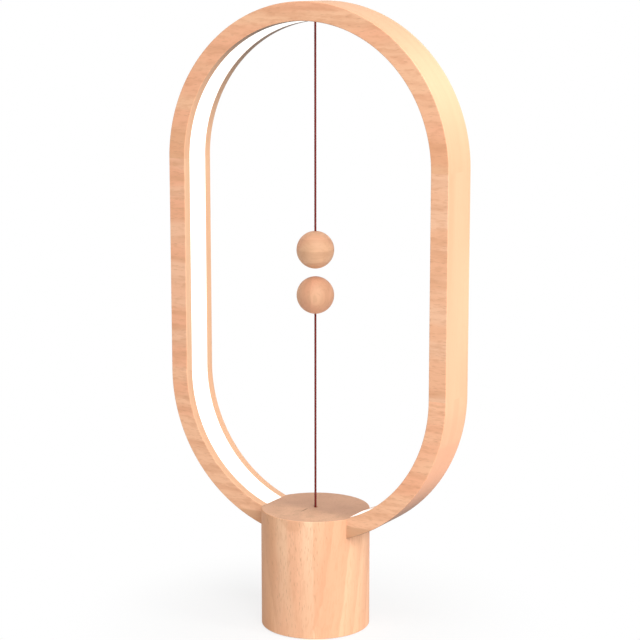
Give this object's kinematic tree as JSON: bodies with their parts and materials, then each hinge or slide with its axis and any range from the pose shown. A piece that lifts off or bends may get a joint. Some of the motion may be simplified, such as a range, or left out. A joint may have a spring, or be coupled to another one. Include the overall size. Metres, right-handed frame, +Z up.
{
  "type": "magnetic balance lamp",
  "caption": "Table lamp: a tall wooden hoop with a glowing inner groove on a round base, and magnetic balls on strings that switch it on as they balance in mid-air.",
  "frame": {"origin": "centre of the base, on the surface that the lamp stands on", "axes": "+Z up, X across the hoop, -Y the front, +Y the side with the power socket"},
  "size_m": [0.201, 0.07, 0.4],
  "materials": {
    "beech": "satin",
    "ball_beech": "satin",
    "dowel_wood": "matt",
    "opal": "matt",
    "strip": "matt",
    "led": "gloss",
    "string": "matt",
    "black_plastic": "matt",
    "white_plastic": "satin",
    "rubber": "matt",
    "steel": "brushed",
    "cast_weight": "zinc plated",
    "magnet": "nickel plated",
    "brass": "satin",
    "board": "solder mask",
    "red_wire": "matt",
    "blue_wire": "matt"
  },
  "bodies": {
    "lamp": {"base_body": "beech", "hoop_lower_arch": "beech", "hoop_left_stile": "beech", "hoop_right_stile": "beech", "hoop_upper_arch": "beech", "hoop_dowels": "dowel_wood", "hoop_screws": "steel", "diffuser": "opal", "led_strip": "strip", "led_chips": "led", "led_leads": "red_wire", "bottom_cover": "black_plastic", "cover_screws": "steel", "foot_pad": "rubber", "ballast": "cast_weight", "board_spacers": "white_plastic", "board_screws": "steel", "circuit_board": "board", "board_components": "black_plastic", "power_socket": "steel", "socket_tongue": "black_plastic", "socket_surround": "black_plastic", "string_guide": "brass", "string_anchor": "brass", "switch_housing": "white_plastic", "switch_cap": "white_plastic", "switch_screws": "steel", "fixed_contacts": "brass", "switch_leads": "blue_wire", "return_spring": "steel", "upper_string_tail": "string"},
    "switch_plunger": {"plunger": "white_plastic", "contact_ring": "brass", "lower_string_tail": "string"},
    "lower_bend": {"lower_string_bend": "string"},
    "lower_pendant": {"lower_string": "string", "lower_ball": "ball_beech", "lower_magnet": "magnet", "lower_ball_plug": "ball_beech"},
    "upper_bend": {"upper_string_bend": "string"},
    "upper_pendant": {"upper_string": "string", "upper_ball": "ball_beech", "upper_magnet": "magnet", "upper_ball_plug": "ball_beech"}
  },
  "joints": [
    {"name": "switch_pull", "type": "slide", "parent": "lamp", "child": "switch_plunger", "axis": [0, 0, 1], "range_m": [-0.003, 0], "stiffness_N_per_m": 200, "springref_m": 0.003, "deforming": ["return_spring"]},
    {"name": "lower_side_swing", "type": "hinge", "parent": "switch_plunger", "child": "lower_bend", "pos_m": [0, 0, 0.0819], "axis": [0, 1, 0], "range_deg": [-30, 30], "stiffness_Nm_per_rad": 0.03},
    {"name": "lower_front_swing", "type": "hinge", "parent": "lower_bend", "child": "lower_pendant", "pos_m": [0, 0, 0.0819], "axis": [1, 0, 0], "range_deg": [-88, 88], "stiffness_Nm_per_rad": 0.03},
    {"name": "upper_side_swing", "type": "hinge", "parent": "lamp", "child": "upper_bend", "pos_m": [0, 0, 0.387], "axis": [0, 1, 0], "range_deg": [-30, 30]},
    {"name": "upper_front_swing", "type": "hinge", "parent": "upper_bend", "child": "upper_pendant", "pos_m": [0, 0, 0.387], "axis": [1, 0, 0], "range_deg": [-75, 75]}
  ]
}
